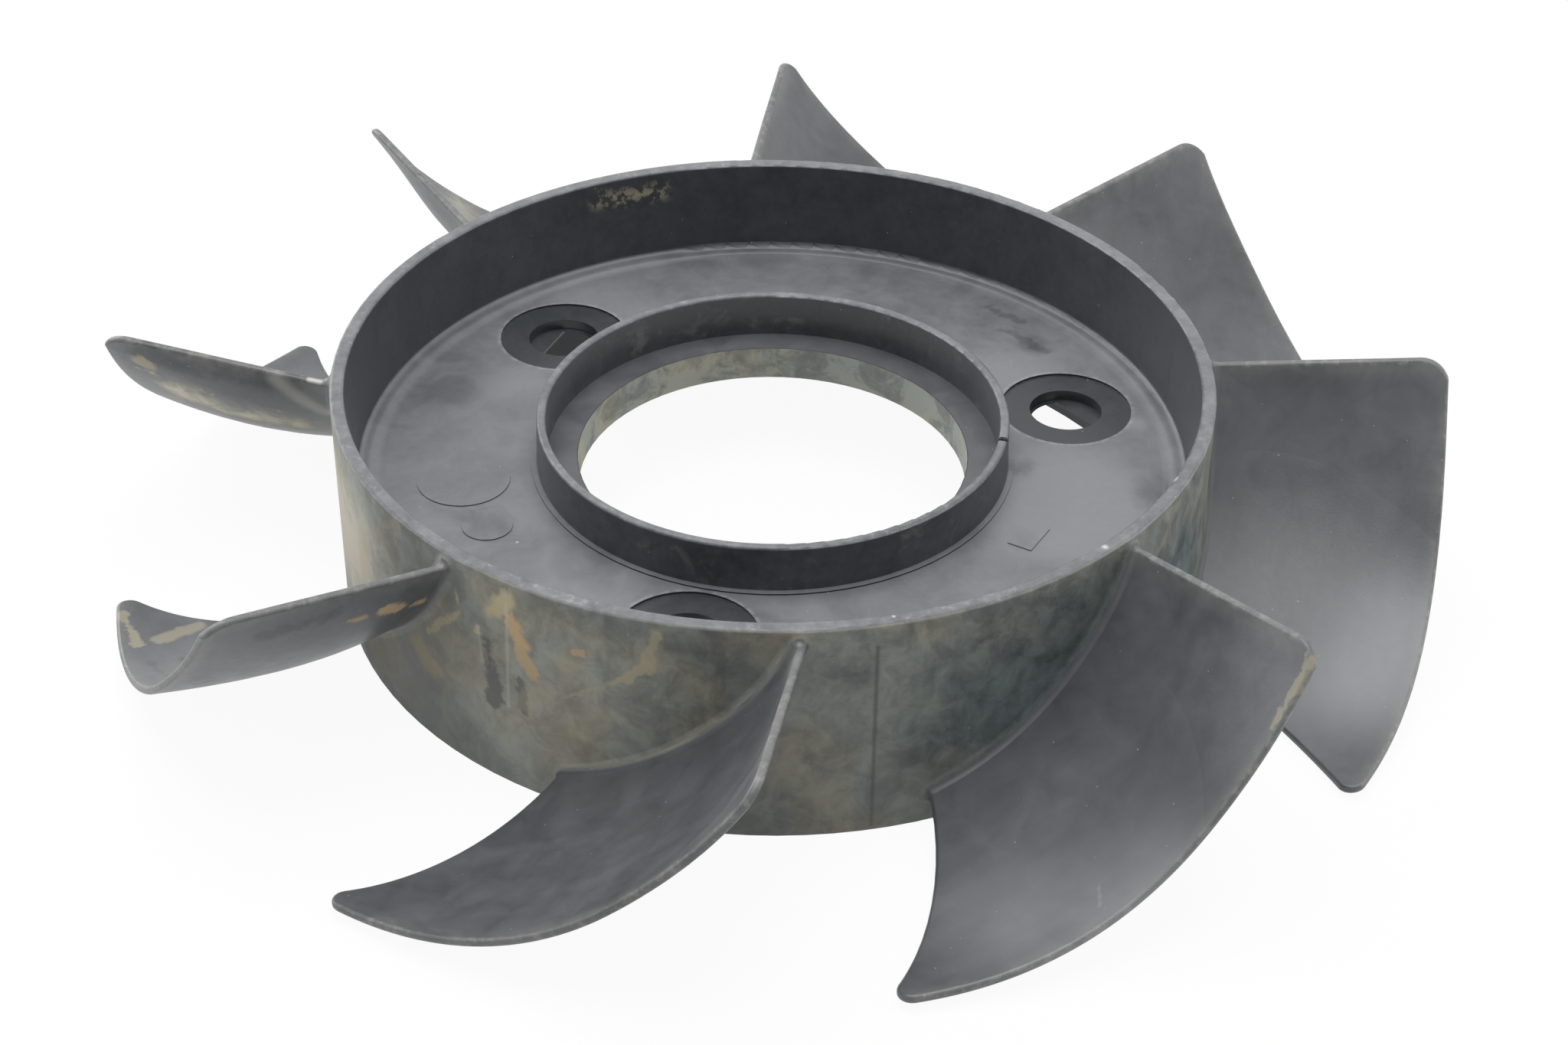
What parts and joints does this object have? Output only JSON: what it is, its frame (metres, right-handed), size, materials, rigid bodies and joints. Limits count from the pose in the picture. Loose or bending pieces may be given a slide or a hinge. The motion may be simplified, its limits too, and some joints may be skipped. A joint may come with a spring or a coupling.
{
  "type": "axial fan impeller",
  "caption": "Moulded axial fan impeller: open drum hub with a flat deck, central collar and bore, carrying swept cambered blades around its wall.",
  "frame": {"origin": "on the rotation axis, level with the drum's lower edge, on which the impeller rests", "axes": "+Z along the rotation axis towards the open outer side of the hub, +X through one of the three bolt holes"},
  "size_m": [0.3512, 0.3512, 0.0659],
  "materials": {
    "moulding": "dark slate glass-filled nylon, satin as moulded, dusty and lightly scratched"
  },
  "bodies": {
    "root": {"impeller": "moulding"}
  },
  "joints": []
}
